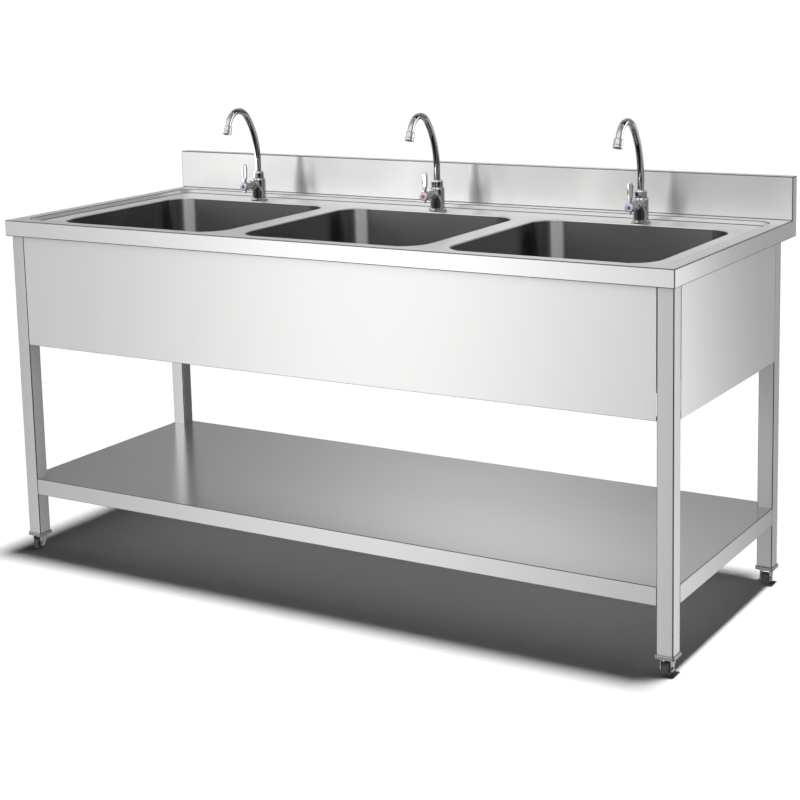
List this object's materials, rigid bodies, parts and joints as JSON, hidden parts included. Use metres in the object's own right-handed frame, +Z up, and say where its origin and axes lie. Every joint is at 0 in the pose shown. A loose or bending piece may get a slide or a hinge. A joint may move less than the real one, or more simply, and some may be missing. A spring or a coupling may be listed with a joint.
{
  "type": "three compartment sink",
  "caption": "Free-standing stainless steel sink unit: pressed bowls in a recessed deck, rear upstand, swan neck taps, apron panels, square legs, open undershelf and swivel casters.",
  "frame": {"origin": "on the floor, under the centre of the rim's outline", "axes": "+Z up, +X along the length to the user's right, +Y towards the wall; the user stands on the -Y side"},
  "size_m": [1.8, 0.75, 1.1121],
  "materials": {
    "sheet_steel": "fine brushed stainless sheet with a soft sheen",
    "bowl_steel": "satin pressed stainless, darker inside the bowls",
    "chrome": "polished chrome plate",
    "plated_steel": "bright zinc plated steel",
    "wheel_rubber": "matt dark rubber",
    "index_blue": "glossy cap",
    "index_red": "glossy cap"
  },
  "bodies": {
    "frame": {"worktop": "sheet_steel", "bowl_left": "bowl_steel", "bowl_middle": "bowl_steel", "bowl_right": "bowl_steel", "apron_front": "sheet_steel", "apron_back": "sheet_steel", "apron_left": "sheet_steel", "apron_right": "sheet_steel", "leg_front_left": "sheet_steel", "leg_front_right": "sheet_steel", "leg_back_left": "sheet_steel", "leg_back_right": "sheet_steel", "shelf": "sheet_steel", "shelf_stiffener": "sheet_steel", "caster_cap_front_left": "plated_steel", "caster_cap_front_right": "plated_steel", "caster_cap_back_left": "plated_steel", "caster_cap_back_right": "plated_steel", "tap_body_left": "chrome", "tap_collar_left": "chrome", "tap_locknut_left": "plated_steel", "drain_strainer_left": "chrome", "drain_nut_left": "plated_steel", "tap_body_middle": "chrome", "tap_collar_middle": "chrome", "tap_locknut_middle": "plated_steel", "drain_strainer_middle": "chrome", "drain_nut_middle": "plated_steel", "tap_body_right": "chrome", "tap_collar_right": "chrome", "tap_locknut_right": "plated_steel", "drain_strainer_right": "chrome", "drain_nut_right": "plated_steel"},
    "spout_left": {"tap_spout_left": "chrome", "tap_aerator_left": "chrome"},
    "handle_left": {"tap_lever_left": "chrome", "tap_index_left": "index_blue"},
    "basket_left": {"drain_basket_left": "chrome"},
    "spout_middle": {"tap_spout_middle": "chrome", "tap_aerator_middle": "chrome"},
    "handle_middle": {"tap_lever_middle": "chrome", "tap_index_middle": "index_red"},
    "basket_middle": {"drain_basket_middle": "chrome"},
    "spout_right": {"tap_spout_right": "chrome", "tap_aerator_right": "chrome"},
    "handle_right": {"tap_lever_right": "chrome", "tap_index_right": "index_blue"},
    "basket_right": {"drain_basket_right": "chrome"},
    "caster_front_left": {"caster_fork_front_left": "plated_steel", "caster_axle_front_left": "plated_steel"},
    "wheel_front_left": {"caster_wheel_front_left": "wheel_rubber"},
    "caster_front_right": {"caster_fork_front_right": "plated_steel", "caster_axle_front_right": "plated_steel"},
    "wheel_front_right": {"caster_wheel_front_right": "wheel_rubber"},
    "caster_back_left": {"caster_fork_back_left": "plated_steel", "caster_axle_back_left": "plated_steel"},
    "wheel_back_left": {"caster_wheel_back_left": "wheel_rubber"},
    "caster_back_right": {"caster_fork_back_right": "plated_steel", "caster_axle_back_right": "plated_steel"},
    "wheel_back_right": {"caster_wheel_back_right": "wheel_rubber"}
  },
  "joints": [
    {"name": "spout_left_swivel", "type": "hinge", "parent": "frame", "child": "spout_left", "pos_m": [-0.56, 0.248, 0.917], "axis": [0, 0, 1], "continuous": true},
    {"name": "lever_left_turn", "type": "hinge", "parent": "frame", "child": "handle_left", "pos_m": [-0.56, 0.1937, 0.9], "axis": [0, 1, 0], "range_deg": [0, 90]},
    {"name": "basket_left_lift", "type": "slide", "parent": "frame", "child": "basket_left", "axis": [0, 0, 1], "range_m": [0, 0.012]},
    {"name": "spout_middle_swivel", "type": "hinge", "parent": "frame", "child": "spout_middle", "pos_m": [0, 0.248, 0.917], "axis": [0, 0, 1], "continuous": true},
    {"name": "lever_middle_turn", "type": "hinge", "parent": "frame", "child": "handle_middle", "pos_m": [0, 0.1937, 0.9], "axis": [0, 1, 0], "range_deg": [0, 90]},
    {"name": "basket_middle_lift", "type": "slide", "parent": "frame", "child": "basket_middle", "axis": [0, 0, 1], "range_m": [0, 0.012]},
    {"name": "spout_right_swivel", "type": "hinge", "parent": "frame", "child": "spout_right", "pos_m": [0.56, 0.248, 0.917], "axis": [0, 0, 1], "continuous": true},
    {"name": "lever_right_turn", "type": "hinge", "parent": "frame", "child": "handle_right", "pos_m": [0.56, 0.1937, 0.9], "axis": [0, 1, 0], "range_deg": [0, 90]},
    {"name": "basket_right_lift", "type": "slide", "parent": "frame", "child": "basket_right", "axis": [0, 0, 1], "range_m": [0, 0.012]},
    {"name": "caster_front_left_swivel", "type": "hinge", "parent": "frame", "child": "caster_front_left", "pos_m": [-0.874, -0.341, 0.037], "axis": [0, 0, 1], "continuous": true},
    {"name": "wheel_front_left_roll", "type": "hinge", "parent": "caster_front_left", "child": "wheel_front_left", "pos_m": [-0.874, -0.347, 0.014], "axis": [1, 0, 0], "continuous": true},
    {"name": "caster_front_right_swivel", "type": "hinge", "parent": "frame", "child": "caster_front_right", "pos_m": [0.874, -0.341, 0.037], "axis": [0, 0, 1], "continuous": true},
    {"name": "wheel_front_right_roll", "type": "hinge", "parent": "caster_front_right", "child": "wheel_front_right", "pos_m": [0.874, -0.347, 0.014], "axis": [1, 0, 0], "continuous": true},
    {"name": "caster_back_left_swivel", "type": "hinge", "parent": "frame", "child": "caster_back_left", "pos_m": [-0.874, 0.271, 0.037], "axis": [0, 0, 1], "continuous": true},
    {"name": "wheel_back_left_roll", "type": "hinge", "parent": "caster_back_left", "child": "wheel_back_left", "pos_m": [-0.874, 0.265, 0.014], "axis": [1, 0, 0], "continuous": true},
    {"name": "caster_back_right_swivel", "type": "hinge", "parent": "frame", "child": "caster_back_right", "pos_m": [0.874, 0.271, 0.037], "axis": [0, 0, 1], "continuous": true},
    {"name": "wheel_back_right_roll", "type": "hinge", "parent": "caster_back_right", "child": "wheel_back_right", "pos_m": [0.874, 0.265, 0.014], "axis": [1, 0, 0], "continuous": true}
  ]
}
